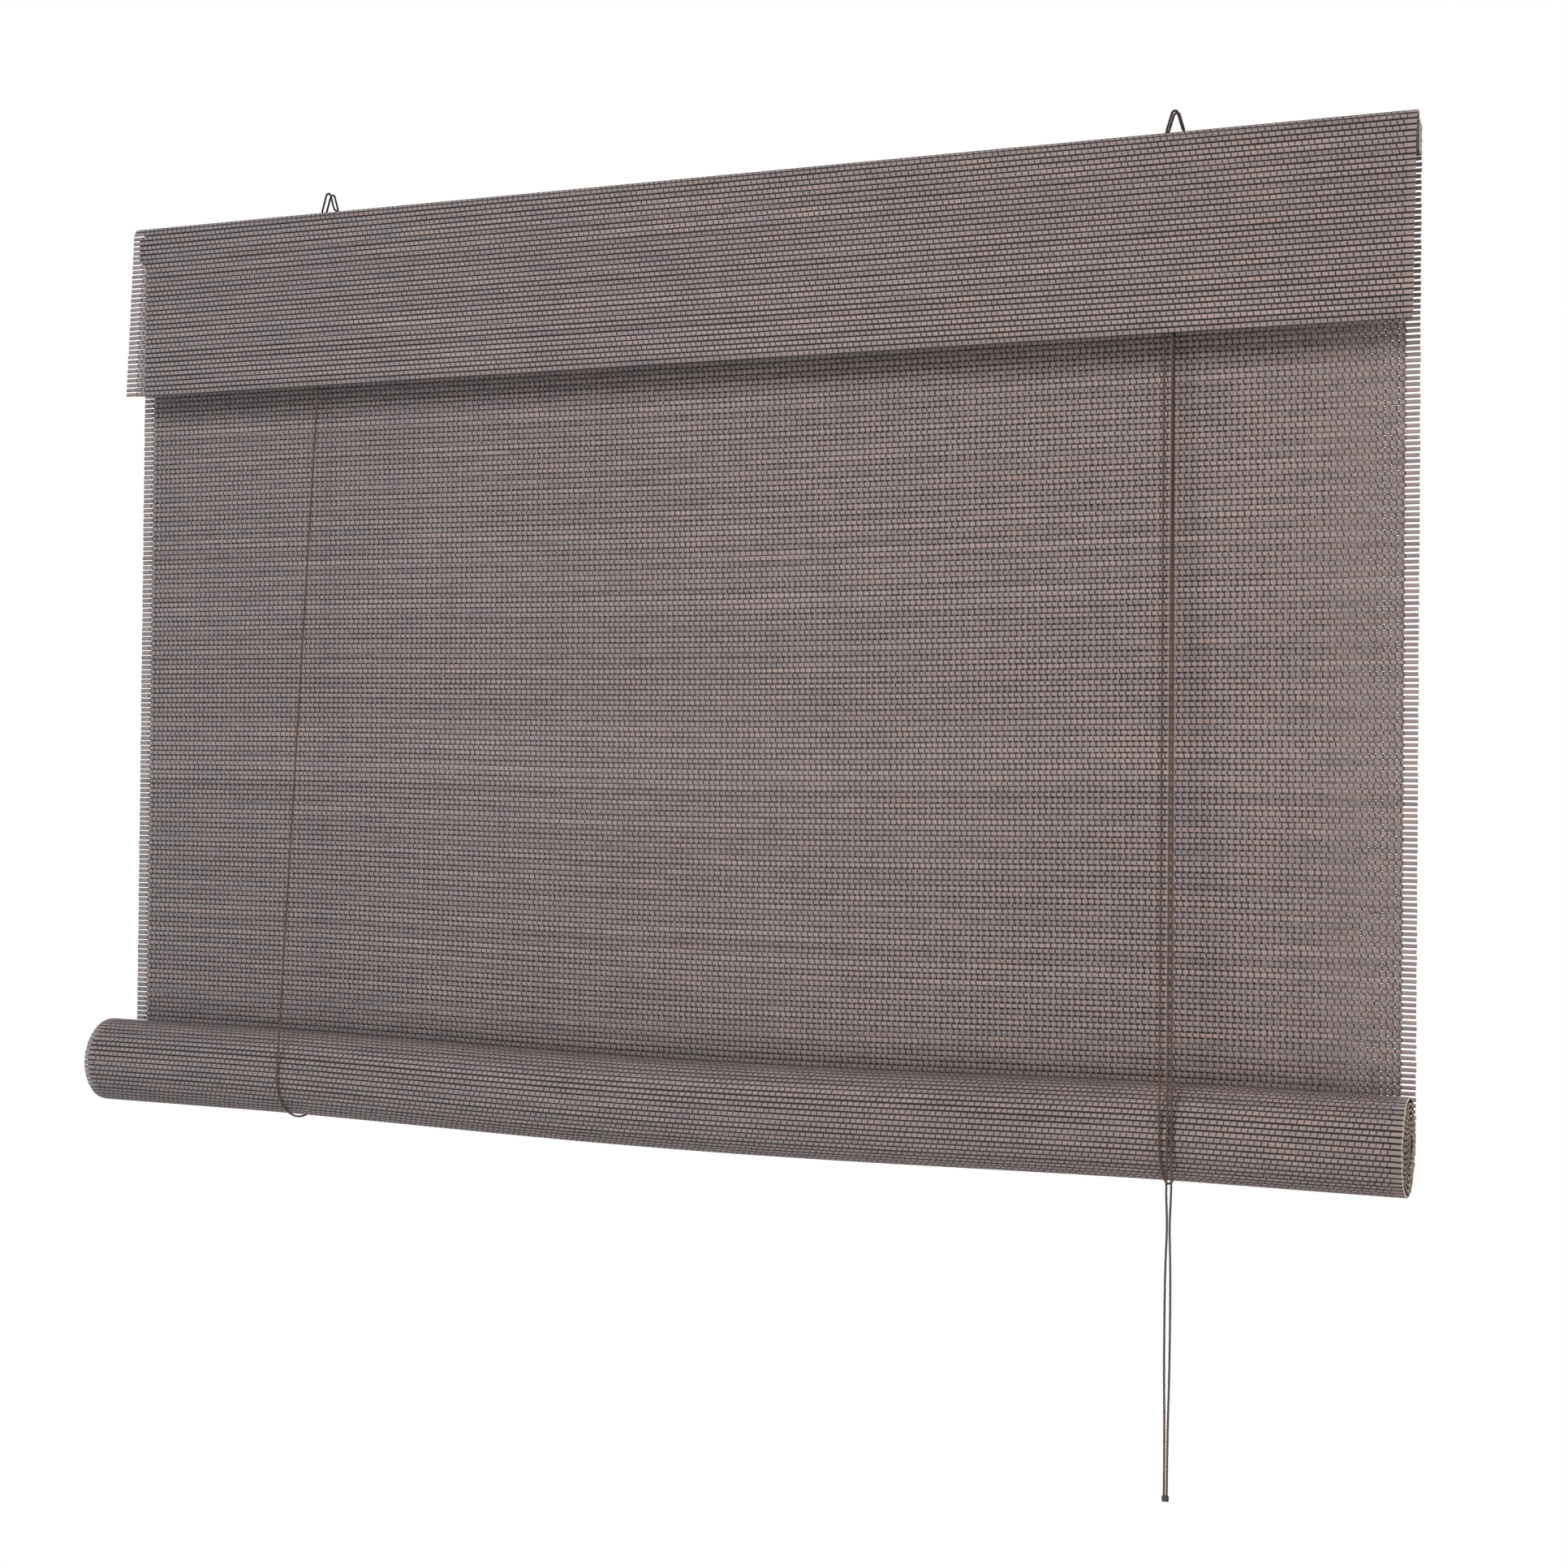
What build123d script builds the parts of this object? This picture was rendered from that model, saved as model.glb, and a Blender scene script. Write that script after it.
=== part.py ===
from build123d import *
import math
import os

# A bamboo roll-up blind: a reed mat that hangs from a wooden headrail, rolled up from below,
# with a fold of the same mat as a valance in front, two wire hangers, and lifting cords.
# X runs along the width, Y from the room to the wall, and Z up, in millimetres.
# The origin lies on the line where the hangers bear on their wall hooks, midway along the mat.

# Reed mat
mat_width = 1200.0
slat_pitch = 4.6
slat_thickness = 1.2
groove_depth = 0.4
fringe_length = 11.0
fringe_gap = 1.3
hanging_fringe_slat_count = 15
roll_fringe_slat_count = 3
valance_fringe_slat_count = 3

# Valance and headrail
valance_drop = 164.0
valance_tail = 18.0
valance_lean = 3.6
batten_depth = 17.0
batten_height = 24.5
batten_round = 3.0
batten_left_inset = 6.0
layer_gap = 0.1

# Roll of mat
roll_drop = 795.0
roll_radius = 40.5
turn_pitch = 4.5
turn_creep = 0.3
rod_radius = 6.0
rod_inset = 15.0
rod_round = 1.0
turn_segments = 16

# Wire hangers
hanger_rise = 15.5
hanger_width = 13.0
hanger_loop_spacing = 7.0
hanger_wire = 2.0
hanger_bend = 2.2
hanger_apex_bend = 2.4
hanger_foot_depth = 8.0
left_hanger_inset = 215.0
right_hanger_inset = 191.0

# Cords
cord_diameter = 2.0
round_sides = 6
cord_clearance = 0.5
cord_joint_gap = 0.2
left_cord_lean = 0.6
right_cord_lean = 16.0
pull_cord_offset = 8.0
pull_cord_spread = 3.4
pull_cord_end_drop = 1075.0
pull_end_height = 4.0
pull_end_wall = 0.7

# Pulleys and their brackets
pulley_flange_radius = 5.0
pulley_groove_radius = 2.0
pulley_width = 9.6
groove_pitch = 4.2
groove_play = 0.6
groove_flare = 0.2
axle_radius = 1.0
axle_head_radius = 1.8
axle_head = 0.8
bracket_wall = 1.0
bracket_length = 34.0
cheek_length = 22.0
pulley_drop = 8.4
cheek_margin = 3.0
running_gap = 0.3
fit_gap = 0.1
left_pulley_inset = 212.0
lock_inset = 195.0

# Cord lock
cam_radius = 3.4
cam_offset = 0.9
cam_drop = 10.0
cam_clearance = 0.6
anvil_wall = 0.6

# Screws and staples
screw_radius = 1.4
screw_length = 12.0
screw_head_radius = 2.6
screw_head = 1.5
bracket_screw_spacing = 28.0
anchor_screw_radius = 1.5
anchor_head_radius = 3.8
anchor_head = 1.6
anchor_length = 16.0
anchor_drop = 10.5
anchor_cord_tail = 6.0
staple_count = 6
staple_crown = 10.0
staple_wire = 0.8
staple_leg = 8.0
staple_edge_inset = 60.0

# Derived places
half_width = mat_width / 2
half_slat = slat_thickness / 2
cord_radius = cord_diameter / 2
fold_top_z = -hanger_rise
tail_y = batten_depth / 2 + layer_gap + half_slat
sheet_y = tail_y + slat_thickness + layer_gap
arch_radius = tail_y
arch_turn = math.pi - math.radians(valance_lean)
arch_z = fold_top_z - arch_radius - half_slat
batten_top_z = arch_z
batten_bottom_z = batten_top_z - batten_height
roll_z = fold_top_z - roll_drop
roll_y = sheet_y + half_slat - roll_radius
sling_radius = roll_radius + cord_clearance + cord_radius
back_cord_y = roll_y + sling_radius
front_cord_y = roll_y - sling_radius
anchor_z = batten_top_z - anchor_drop

left_hanger_x = left_hanger_inset - half_width
right_hanger_x = half_width - right_hanger_inset
left_pulley_x = left_pulley_inset - half_width
lock_x = half_width - lock_inset
left_cord_x = left_pulley_x + left_cord_lean
right_cord_x = lock_x + right_cord_lean
pull_cord_x = right_cord_x + pull_cord_offset

cord_turn = pulley_groove_radius + running_gap + cord_radius
pulley_z = batten_bottom_z - pulley_drop
front_groove_y = -groove_pitch / 2
rear_groove_y = groove_pitch / 2
bracket_depth = pulley_width + 2 * running_gap + 2 * bracket_wall
pull_top_x = lock_x + cord_turn
lift_top_x = lock_x - cord_turn
pull_end_z = fold_top_z - pull_cord_end_drop
pull_lie_y = front_cord_y
cam_z = pulley_z - cam_drop
cam_x = pull_top_x + cord_radius + cam_clearance + cam_radius
anvil_x = lock_x


def strip_outline(stations, half):
    """Closed outline, in Y and Z, of a strip of rounded slats, as a ridge each, grooved between."""
    sides = {1: [], -1: []}
    rows = [slat_edge(stations[0], -slat_pitch / 2)]
    for slat, groove in zip(stations, between(stations)):
        rows += [slat, groove]
    rows += [stations[-1], slat_edge(stations[-1], slat_pitch / 2)]
    for index, (y, z, ty, tz) in enumerate(rows):
        height = half - groove_depth if index % 2 == 0 else half
        for side in (1, -1):
            sides[side].append((y + side * height * tz, z - side * height * ty))
    return sides[1] + sides[-1][::-1]


def slat_edge(station, reach):
    y, z, ty, tz = station
    return (y + reach * ty, z + reach * tz, ty, tz)


def extruded(outline, length):
    """A solid of the outline, in Y and Z, centred along X."""
    edge = Polyline(*[(0, y, z) for y, z in outline], close=True)
    return extrude(make_face(edge), amount=length / 2, dir=(1, 0, 0), both=True)


def between(stations):
    """The places midway between neighbouring slats."""
    places = []
    for first, second in zip(stations, stations[1:]):
        places.append(tuple((a + b) / 2 for a, b in zip(first, second)))
    return places


def fringe_cuts(places):
    """Slots between the free slat ends, at both edges of a mat."""
    cuts = []
    for y, z, ty, tz in places:
        turn = math.degrees(math.atan2(-ty, tz))
        depth = slat_thickness + 2 * groove_depth
        slot = Rot(turn, 0, 0) * Box(2 * fringe_length, depth, fringe_gap)
        cuts += [Pos(side * half_width, y, z) * slot for side in (-1, 1)]
    return cuts


def wall_slot(x, z, width):
    """A square hole through the layers of mat behind the headrail."""
    depth = 2 * (slat_thickness + layer_gap) + slat_thickness
    return Pos(x, (tail_y + sheet_y) / 2, z) * Box(width, depth, width)


def fastener_slots():
    """Holes in the mats for the anchor screws and the staple legs."""
    screw_hole = 2 * (anchor_screw_radius + fit_gap)
    leg_hole = staple_wire + 2 * fit_gap
    slots = [wall_slot(x, anchor_z, screw_hole) for x in anchor_places()]
    for x in staple_places():
        for side in (-1, 1):
            slots.append(wall_slot(x + side * staple_leg_offset(), staple_z(), leg_hole))
    return slots


def staple_places():
    """Places of the staples along the headrail."""
    first = staple_edge_inset - half_width
    step = (mat_width - 2 * staple_edge_inset) / (staple_count - 1)
    return [first + index * step for index in range(staple_count)]


def staple_leg_offset():
    return (staple_crown - staple_wire) / 2


def staple_z():
    return batten_top_z - valance_tail / 2


def fold_station(run):
    """Place and direction at a run along the valance, from its tail over the fold and down."""
    if run < valance_tail:
        return (tail_y, arch_z - valance_tail + run, 0.0, 1.0)
    turn = min((run - valance_tail) / arch_radius, arch_turn)
    ty, tz = -math.sin(turn), math.cos(turn)
    fall = run - valance_tail - turn * arch_radius
    return (arch_radius * tz + fall * ty, arch_z - arch_radius * ty + fall * tz, ty, tz)


def valance_mat():
    arch_end = arch_radius * (1 - math.sin(arch_turn)) + half_slat
    fall = (valance_drop - arch_end) / math.cos(math.radians(valance_lean))
    length = valance_tail + arch_turn * arch_radius + fall
    count = round(length / slat_pitch)
    stations = [fold_station((index + 1 / 2) * length / count) for index in range(count)]
    mat = extruded(strip_outline(stations, half_slat), mat_width)
    slot = hanger_wire + 2 * running_gap
    gaps = between(stations)[::-valance_fringe_slat_count]
    cuts = fringe_cuts([gap for gap in gaps if gap[0] < 0])
    for x in (left_hanger_x, right_hanger_x):
        for y in hanger_loop_ys():
            hole = Box(slot, slot, 2 * arch_radius)
            cuts.append(Pos(x - hanger_width / 2, y, arch_z + arch_radius) * hole)
    return mat - (cuts + fastener_slots())


def hanging_mat():
    length = batten_top_z - roll_z - layer_gap
    count = round(length / slat_pitch)
    stations = []
    for index in range(count):
        drop = (index + 1 / 2) * length / count
        stations.append((sheet_y, batten_top_z - drop, 0.0, -1.0))
    mat = extruded(strip_outline(stations, half_slat), mat_width)
    return mat - (fringe_cuts(between(stations)[::hanging_fringe_slat_count]) + fastener_slots())


def roll_station(turn):
    """Place and direction on the roll's spiral, from its tangent with the hanging mat inwards."""
    radius = roll_radius - half_slat - turn_pitch * turn / (2 * math.pi)
    y = roll_y + radius * math.cos(turn)
    return (y, roll_z - radius * math.sin(turn), -math.sin(turn), -math.cos(turn))


def rolled_mat():
    outer_turn = 2 * math.pi
    count = round(outer_turn * (roll_radius - half_slat - turn_pitch / 2) / slat_pitch)
    ridged = [roll_station((index + 1 / 2) * outer_turn / count) for index in range(count)]
    inner_reach = roll_radius - slat_thickness - rod_radius / math.cos(math.pi / turn_segments) - fit_gap
    last_turn = outer_turn * inner_reach / turn_pitch
    step = outer_turn / turn_segments
    plain = []
    turn = outer_turn + step / 2
    while turn < last_turn:
        plain.append(roll_station(turn))
        turn += step
    plain.append(roll_station(last_turn))
    outline = strip_outline(ridged, half_slat)
    middle = len(outline) // 2
    outer = [(y + half_slat * tz, z - half_slat * ty) for y, z, ty, tz in plain]
    inner = [(y - half_slat * tz, z + half_slat * ty) for y, z, ty, tz in plain]
    outline = outline[:middle] + outer + inner[::-1] + outline[middle:]
    roll = extruded(outline, mat_width + 2 * roll_creep()) & crept_ends()
    return roll - fringe_cuts(between(ridged)[::roll_fringe_slat_count])


def roll_creep():
    """How far the innermost turn stands out to one side of the outermost."""
    return turn_creep * roll_radius / turn_pitch


def crept_ends():
    """The space between a hollow point at one end of the roll and a blunt point at the other."""
    rim = RegularPolygon(roll_radius, turn_segments, major_radius=False, rotation=180 / turn_segments)
    barrel = extrude(Plane.YZ * rim, amount=half_width, both=True)
    ends = (half_width, -half_width)
    tips = [loft([Plane.YZ.offset(end) * rim, Vertex(end + roll_creep(), 0, 0)]) for end in ends]
    blunt, hollow = tips
    return Pos(0, roll_y, roll_z) * (barrel + blunt - hollow)


def bottom_rod():
    rod = Rot(0, 90, 0) * Cylinder(rod_radius, mat_width - 2 * rod_inset)
    return Pos(0, roll_y, roll_z) * chamfer(rod.edges(), rod_round)


def headrail_batten():
    centre_z = (batten_top_z + batten_bottom_z) / 2
    length = mat_width - batten_left_inset
    rail = Pos(batten_left_inset / 2, 0, centre_z) * Box(length, batten_depth, batten_height)
    rail = fillet(rail.edges().filter_by(Axis.X), batten_round)
    foot = Cylinder(hanger_wire / 2 + fit_gap, 2 * hanger_foot_depth)
    cuts = []
    for x in (left_hanger_x, right_hanger_x):
        cuts += [Pos(x - hanger_width / 2, y, batten_top_z) * foot for y in hanger_loop_ys()]
    bore = Cylinder(screw_radius + fit_gap, 2 * screw_length)
    cuts += [Pos(x, 0, batten_bottom_z) * bore for x in bracket_screw_places()]
    anchor_bore = Rot(90, 0, 0) * Cylinder(anchor_screw_radius + fit_gap, 2 * anchor_length)
    cuts += [Pos(x, anchor_tip_y() + anchor_length, anchor_z) * anchor_bore for x in anchor_places()]
    hole = staple_wire + 2 * fit_gap
    leg = Box(hole, 2 * staple_leg, hole)
    for x in staple_places():
        for side in (-1, 1):
            leg_x = x + side * staple_leg_offset()
            cuts.append(Pos(leg_x, staple_tip_y() + staple_leg, staple_z()) * leg)
    return rail - cuts


def hanger_loop_ys():
    """The front and rear loop of a hanger, either side of the top of the fold."""
    return (-hanger_loop_spacing / 2, hanger_loop_spacing / 2)


def tube(path, radius):
    """A wire or cord, in a few flat sides, along straight runs and arcs."""
    solids = []
    for edge in path.edges():
        section = Plane(origin=edge @ 0, z_dir=edge % 0) * RegularPolygon(radius, round_sides)
        if edge.geom_type == GeomType.LINE:
            solids.append(extrude(section, amount=edge.length, dir=edge % 0))
        else:
            axis = Axis(edge.arc_center, (edge @ 0 - edge.arc_center).cross(edge % 0))
            solids.append(revolve(section, axis, math.degrees(edge.length / edge.radius)))
    return solids[0] + solids[1:] if len(solids) > 1 else solids[0]


def hanger(x):
    """One bent wire: a foot, two pointed loops one behind the other, and the other foot."""
    near_y, far_y = hanger_loop_ys()
    half = hanger_width / 2
    base_z = fold_top_z + hanger_wire / 2 + fit_gap
    foot_z = batten_top_z - hanger_foot_depth
    apex_centre = hanger_wire / 2 - hanger_apex_bend - base_z
    lean = math.atan2(apex_centre, half) + math.asin(hanger_apex_bend / math.hypot(apex_centre, half))
    apex_z = base_z + half * math.tan(lean)
    near_loop = [(x - half, near_y, foot_z), (x - half, near_y, base_z), (x, near_y, apex_z)]
    back_turn = [(x + half, near_y, base_z), (x + half, far_y, base_z)]
    far_loop = [(x, far_y, apex_z), (x - half, far_y, base_z), (x - half, far_y, foot_z)]
    radii = [hanger_bend, hanger_apex_bend, hanger_bend, hanger_bend, hanger_apex_bend, hanger_bend]
    route = FilletPolyline(*near_loop, *back_turn, *far_loop, radius=radii)
    return tube(route, hanger_wire / 2)


def pulley(x):
    """A double-grooved pulley on an axle that runs along Y."""
    half = pulley_width / 2
    profile = [(axle_radius + fit_gap, -half), (pulley_flange_radius, -half)]
    floor = cord_radius + groove_play
    mouth = floor + groove_flare
    for centre in (front_groove_y, rear_groove_y):
        profile += [(pulley_flange_radius, centre - mouth), (pulley_groove_radius, centre - floor)]
        profile += [(pulley_groove_radius, centre + floor), (pulley_flange_radius, centre + mouth)]
    profile += [(pulley_flange_radius, half), (axle_radius + fit_gap, half)]
    face = make_face(Polyline(*[(r, y, 0) for r, y in profile], close=True))
    return Pos(x, 0, pulley_z) * revolve(face, Axis.Y)


def pin_hole(x, z):
    return Pos(x, 0, z) * Rot(90, 0, 0) * Cylinder(axle_radius + fit_gap, 2 * bracket_depth)


def bracket(x, bottom_z, pins):
    """A folded steel channel under the headrail, with a plate for two screws and two cheeks."""
    height = batten_bottom_z - bottom_z
    cheek_z = (batten_bottom_z + bottom_z) / 2
    plate = Box(bracket_length, bracket_depth, bracket_wall)
    body = Pos(x, 0, batten_bottom_z - bracket_wall / 2) * plate
    for side in (-1, 1):
        y = side * (bracket_depth - bracket_wall) / 2
        body += Pos(x, y, cheek_z) * Box(cheek_length, bracket_wall, height)
    bore = Cylinder(screw_radius + fit_gap, 2 * batten_height)
    cuts = [Pos(x + side * bracket_screw_spacing / 2, 0, batten_bottom_z) * bore for side in (-1, 1)]
    return body - (cuts + [pin_hole(px, pz) for px, pz in pins])


def pin(x, z):
    """A headed pin across a bracket's cheeks."""
    shank = Cylinder(axle_radius, bracket_depth)
    head = Pos(0, 0, (bracket_depth + axle_head) / 2) * Cylinder(axle_head_radius, axle_head)
    return Pos(x, 0, z) * Rot(90, 0, 0) * (shank + head)


def lock_cam():
    """An eccentric roller that pinches the pull cords against the anvil."""
    round_end = Cylinder(cam_radius - cam_offset, pulley_width)
    disc = round_end + Pos(-cam_offset, 0, 0) * round_end
    disc -= Cylinder(axle_radius + fit_gap, 2 * pulley_width)
    return Pos(cam_x, 0, cam_z) * Rot(90, 0, 0) * disc


def lock_anvil():
    """A fixed sleeve between the lifting and the pulling strands, on its own pin."""
    bore = axle_radius + fit_gap
    sleeve = Cylinder(bore + anvil_wall, pulley_width) - Cylinder(bore, 2 * pulley_width)
    return Pos(anvil_x, 0, cam_z) * Rot(90, 0, 0) * sleeve


def bracket_screw_places():
    sides = (-bracket_screw_spacing / 2, bracket_screw_spacing / 2)
    return [x + side for x in (left_pulley_x, lock_x) for side in sides]


def bracket_screws():
    """The four screws that hold the brackets, heads down."""
    plate_z = batten_bottom_z - bracket_wall
    screws = []
    for x in bracket_screw_places():
        shank = Pos(x, 0, plate_z + screw_length / 2) * Cylinder(screw_radius, screw_length)
        head = Pos(x, 0, plate_z - screw_head / 2) * Cylinder(screw_head_radius, screw_head)
        screws.append(shank + head)
    return Compound(children=screws)


def anchor_places():
    """The anchor screws stand beside the cords that their heads clamp."""
    offset = anchor_screw_radius + fit_gap + cord_radius
    return (left_cord_x + offset, right_cord_x + offset)


def anchor_tip_y():
    return back_cord_y + cord_radius + fit_gap - anchor_length


def anchor_screws():
    """The two screws in the back of the headrail whose heads clamp the lifting cords."""
    seat_y = back_cord_y + cord_radius + fit_gap
    screws = []
    for x in anchor_places():
        shank = Rot(90, 0, 0) * Cylinder(anchor_screw_radius, anchor_length)
        head = Rot(90, 0, 0) * Cylinder(anchor_head_radius, anchor_head)
        screw = Pos(x, seat_y - anchor_length / 2, anchor_z) * shank
        screws.append(screw + Pos(x, seat_y + anchor_head / 2, anchor_z) * head)
    return Compound(children=screws)


def staple_tip_y():
    return sheet_y + half_slat + layer_gap - staple_leg


def mat_staples():
    """Staples that hold both layers of mat to the back of the headrail."""
    seat_y = sheet_y + half_slat + layer_gap
    staples = []
    for x in staple_places():
        crown = Box(staple_crown, staple_wire, staple_wire)
        staple = Pos(x, seat_y + staple_wire / 2, staple_z()) * crown
        for side in (-1, 1):
            leg = Box(staple_wire, staple_leg, staple_wire)
            staple += Pos(x + side * staple_leg_offset(), seat_y - staple_leg / 2, staple_z()) * leg
        staples.append(staple)
    return Compound(children=staples)


def cord_run(points):
    return tube(Polyline(*points), cord_radius)


def front_cord(top, x):
    """The strand from a pulley down to the front of the roll."""
    start = (top[0], top[1], pulley_z - cord_joint_gap)
    return cord_run([start, (x, front_cord_y, roll_z + cord_joint_gap)])


def sling_cord(x):
    """The strand round the underside of the roll."""
    lowest = (x, roll_y, roll_z - sling_radius)
    arc = Edge.make_three_point_arc((x, front_cord_y, roll_z), lowest, (x, back_cord_y, roll_z))
    return tube(arc, cord_radius)


def back_cord(x):
    """The strand up the back of the mat, clamped under the head of its anchor screw."""
    top_z = anchor_z + anchor_cord_tail
    return cord_run([(x, back_cord_y, top_z), (x, back_cord_y, roll_z + cord_joint_gap)])


def cross_cord():
    """The left cord over its pulley, along the headrail and down over the lock's pulley."""
    first = pulley_arc((left_pulley_x, rear_groove_y, pulley_z), 180, 90)
    last = pulley_arc((lock_x, rear_groove_y, pulley_z), 90, 0)
    return tube(Wire([first, Edge.make_line(first @ 1, last @ 0), last]), cord_radius)


def pulley_arc(centre, start_angle, end_angle):
    """An arc of cord in a pulley's groove, seen from the room, from one angle down to another."""
    places = []
    for angle in (start_angle, (start_angle + end_angle) / 2, end_angle):
        turn = math.radians(angle)
        across = cord_turn * math.cos(turn)
        places.append((centre[0] + across, centre[1], centre[2] + cord_turn * math.sin(turn)))
    return Edge.make_three_point_arc(*places)


def lock_turn_cord():
    """The right cord's half turn over the lock's pulley."""
    return tube(pulley_arc((lock_x, front_groove_y, pulley_z), 180, 0), cord_radius)


def pull_lie_x(side):
    """Where a pull strand lies on the roll."""
    return pull_cord_x + side * pull_cord_spread / 2


def pull_end_x(side):
    """Where a pull strand ends, beside the other one."""
    return pull_cord_x + side * (cord_radius + fit_gap)


def upper_pull_cord(side, groove_y):
    """A pull strand from the lock's pulley to the front of the roll."""
    start = (pull_top_x, groove_y, pulley_z - cord_joint_gap)
    return cord_run([start, (pull_lie_x(side), pull_lie_y, roll_z + cord_joint_gap)])


def lower_pull_cord(side):
    """A pull strand from the front of the roll down to its end."""
    return cord_run([(pull_lie_x(side), pull_lie_y, roll_z), (pull_end_x(side), pull_lie_y, pull_end_z)])


def pull_cord_end():
    """The crimped sleeve that joins the two pull strands at their end."""
    length = 2 * (cord_diameter + fit_gap + pull_end_wall)
    width = cord_diameter + 2 * (fit_gap + pull_end_wall)
    sleeve = extrude(SlotOverall(length, width), amount=pull_end_height)
    for side in (-1, 1):
        bore = Cylinder(cord_radius + fit_gap / 2, pull_end_height)
        offset = pull_end_x(side) - pull_cord_x
        sleeve -= Pos(offset, 0, pull_end_height / 2 + pull_end_wall) * bore
    return Pos(pull_cord_x, pull_lie_y, pull_end_z - pull_end_wall) * sleeve


left_top = (left_pulley_x - cord_turn, rear_groove_y)
right_top = (lift_top_x, front_groove_y)
short_bottom_z = pulley_z - pulley_flange_radius - cheek_margin
lock_bottom_z = cam_z - cam_radius - cheek_margin
lock_pins = [(lock_x, pulley_z), (cam_x, cam_z), (anvil_x, cam_z)]

nodes = {
    "headrail_batten": headrail_batten(),
    "valance_mat": valance_mat(),
    "hanging_mat": hanging_mat(),
    "rolled_mat": rolled_mat(),
    "bottom_rod": bottom_rod(),
    "left_hanger": hanger(left_hanger_x),
    "right_hanger": hanger(right_hanger_x),
    "mat_staples": mat_staples(),
    "left_pulley_bracket": bracket(left_pulley_x, short_bottom_z, [(left_pulley_x, pulley_z)]),
    "left_pulley": pulley(left_pulley_x),
    "left_pulley_axle": pin(left_pulley_x, pulley_z),
    "lock_bracket": bracket(lock_x, lock_bottom_z, lock_pins),
    "lock_pulley": pulley(lock_x),
    "lock_pulley_axle": pin(lock_x, pulley_z),
    "lock_cam": lock_cam(),
    "lock_cam_pin": pin(cam_x, cam_z),
    "lock_anvil": lock_anvil(),
    "lock_anvil_pin": pin(anvil_x, cam_z),
    "bracket_screws": bracket_screws(),
    "anchor_screws": anchor_screws(),
    "left_front_cord": front_cord(left_top, left_cord_x),
    "left_sling_cord": sling_cord(left_cord_x),
    "left_back_cord": back_cord(left_cord_x),
    "right_front_cord": front_cord(right_top, right_cord_x),
    "right_sling_cord": sling_cord(right_cord_x),
    "right_back_cord": back_cord(right_cord_x),
    "cross_cord": cross_cord(),
    "lock_turn_cord": lock_turn_cord(),
    "upper_pull_cord_front": upper_pull_cord(-1, front_groove_y),
    "upper_pull_cord_rear": upper_pull_cord(1, rear_groove_y),
    "lower_pull_cord_front": lower_pull_cord(-1),
    "lower_pull_cord_rear": lower_pull_cord(1),
    "pull_cord_end": pull_cord_end(),
}

print("radius of the cord's arcs, at the pulleys and under the roll, in mm:", cord_turn, sling_radius)

os.makedirs("parts", exist_ok=True)
for name, solid in nodes.items():
    export_step(solid, f"parts/{name}.step")
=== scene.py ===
import math
import bpy
import numpy as np
from mathutils import Matrix, Vector


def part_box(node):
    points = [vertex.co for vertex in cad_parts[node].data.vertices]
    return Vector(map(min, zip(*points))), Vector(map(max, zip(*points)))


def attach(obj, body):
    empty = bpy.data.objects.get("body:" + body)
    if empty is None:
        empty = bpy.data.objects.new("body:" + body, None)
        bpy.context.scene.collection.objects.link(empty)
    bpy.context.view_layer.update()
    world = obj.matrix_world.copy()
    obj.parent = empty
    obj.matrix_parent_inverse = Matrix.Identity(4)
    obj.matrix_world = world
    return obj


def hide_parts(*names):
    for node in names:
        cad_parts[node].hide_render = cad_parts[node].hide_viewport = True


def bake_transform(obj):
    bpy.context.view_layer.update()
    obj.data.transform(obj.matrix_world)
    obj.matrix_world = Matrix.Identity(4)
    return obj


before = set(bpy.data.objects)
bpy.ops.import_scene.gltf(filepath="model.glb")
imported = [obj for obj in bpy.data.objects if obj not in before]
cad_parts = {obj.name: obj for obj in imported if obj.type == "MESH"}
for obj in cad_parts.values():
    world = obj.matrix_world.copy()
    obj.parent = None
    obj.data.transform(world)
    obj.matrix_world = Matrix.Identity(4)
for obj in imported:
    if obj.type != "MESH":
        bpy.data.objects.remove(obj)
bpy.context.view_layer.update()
random_seed = 11
rng = np.random.default_rng(random_seed)

# A bamboo roll-up blind. Lengths are in metres, X runs along the mat, Y to the wall and Z up.

# Reed mat
slat_pitch = 0.0046
slat_thickness = 0.0012
half_slat = slat_thickness / 2
slat_edge_half = 0.0001
flat_share = 0.64
flat_spread_share = 0.07
row_spread_share = 0.08
fringe_length = 0.011
fringe_step = 0.0005
cut_band = 0.0008
end_jitter = 0.0006
face_wobble = 0.00003
slat_runs = 25

# Corners of a slat's section, which of them lie in a groove and get painted shade there, and the faces
# that make its back
slat_corners = 8
shaded_groove_corners = [0, 0, 1, 1, 0, 0, 1, 1]
slat_back_start, slat_back_end = 3, 6

# Warp threads
thread_pitch = 0.0052
thread_half = 0.00048
thread_spread_share = 0.25
thread_rise = 0.0001
thread_slant = 0.0003
thread_jitter = 0.00014
front_shift_share, back_shift_share = -0.31, 0.37
bar_shift_share = 0.5
bar_half_width = 0.0010
edge_bar_half_width = 0.0021
edge_bars_start, edge_bars_full = 0.17, 0.06
bar_sink = 0.0001

# Valance and roll
valance_tail = 0.018
valance_lean = 3.6
roll_radius = 0.0405
turn_pitch = 0.0045
turn_creep = 0.0003
lower_spread_share = 0.007
sag_depth = 0.006
sag_reach = 0.45

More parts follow.
